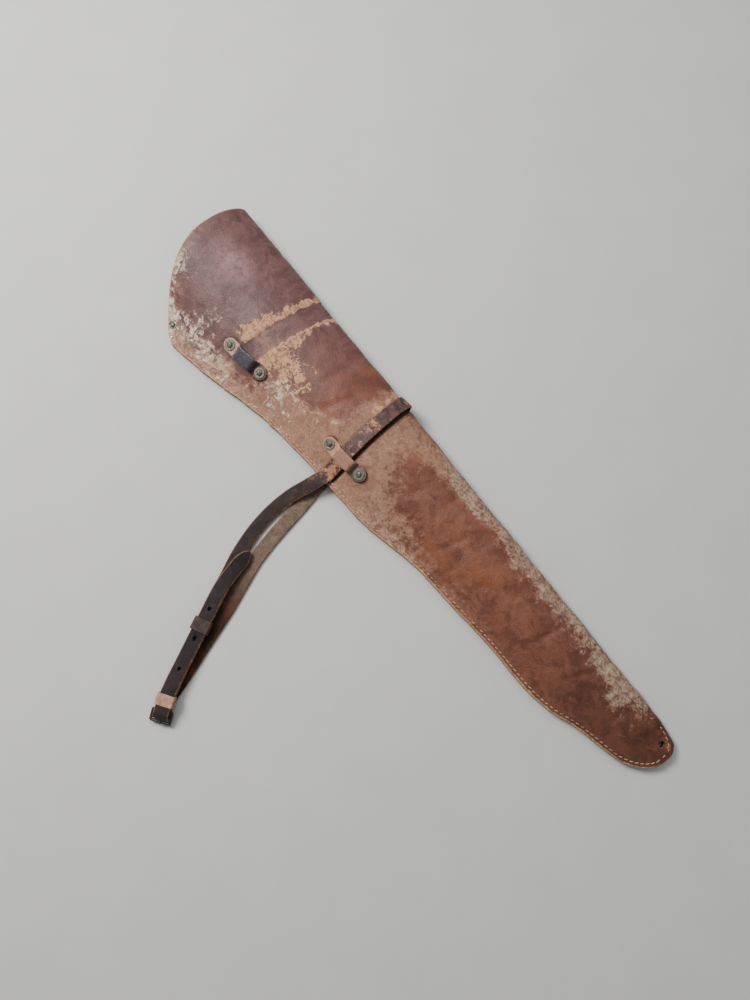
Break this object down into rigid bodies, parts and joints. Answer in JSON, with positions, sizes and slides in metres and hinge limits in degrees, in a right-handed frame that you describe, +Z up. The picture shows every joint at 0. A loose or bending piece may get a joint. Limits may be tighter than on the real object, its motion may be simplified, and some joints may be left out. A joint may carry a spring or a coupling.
{
  "type": "saddle scabbard",
  "caption": "Folded and sewn leather long-gun saddle scabbard with a curved mouth, rounded toe, two riveted keepers and one long buckled strap.",
  "frame": {"origin": "on the floor under the middle of the whole object as it lies on its back", "axes": "+X along the case towards its toe, +Y across it towards the folded edge, +Z up out of the front leaf"},
  "size_m": [0.7618, 0.4207, 0.0393],
  "materials": {
    "hide": "worn oiled saddle leather, scuffed and mottled",
    "welt": "dry cut leather edge",
    "thread": "waxed linen thread",
    "keeper_dark": "dark polished leather",
    "keeper_tan": "dry tan leather",
    "strap_leather": "dark worn strap leather",
    "rivet_brass": "dull patinated brass",
    "tack_brass": "rubbed brass",
    "japanned_steel": "worn black japanning"
  },
  "bodies": {
    "case": {"scabbard_body": "hide", "seam_welt": "welt", "seam_thread": "thread", "upper_keeper": "keeper_dark", "lower_keeper": "keeper_tan", "upper_rivet_near_mouth": "rivet_brass", "upper_rivet_near_toe": "rivet_brass", "lower_rivet_near_mouth": "rivet_brass", "lower_rivet_near_toe": "rivet_brass", "upper_burr_near_mouth": "rivet_brass", "upper_burr_near_toe": "rivet_brass", "lower_burr_near_mouth": "rivet_brass", "lower_burr_near_toe": "rivet_brass", "mouth_rivet": "rivet_brass", "mouth_burr": "rivet_brass", "corner_tack": "tack_brass", "strap": "strap_leather", "fixed_keeper": "keeper_tan", "chape_thread": "thread"},
    "buckle_frame": {"buckle_frame": "japanned_steel"},
    "buckle_tongue": {"buckle_tongue": "japanned_steel"},
    "sliding_keeper": {"sliding_keeper": "strap_leather"}
  },
  "joints": [
    {"name": "buckle_frame_hinge", "type": "hinge", "parent": "case", "child": "buckle_frame", "pos_m": [0.024, -0.1925, 0.007], "axis": [-0.809, -0.5878, 0], "range_deg": [-12, 0]},
    {"name": "buckle_tongue_hinge", "type": "hinge", "parent": "case", "child": "buckle_tongue", "pos_m": [0.024, -0.1925, 0.007], "axis": [-0.809, -0.5878, 0], "range_deg": [0, 4]},
    {"name": "keeper_slide", "type": "slide", "parent": "case", "child": "sliding_keeper", "axis": [0.4539, -0.8909, 0.0168], "range_m": [-0.022, 0.045]}
  ]
}
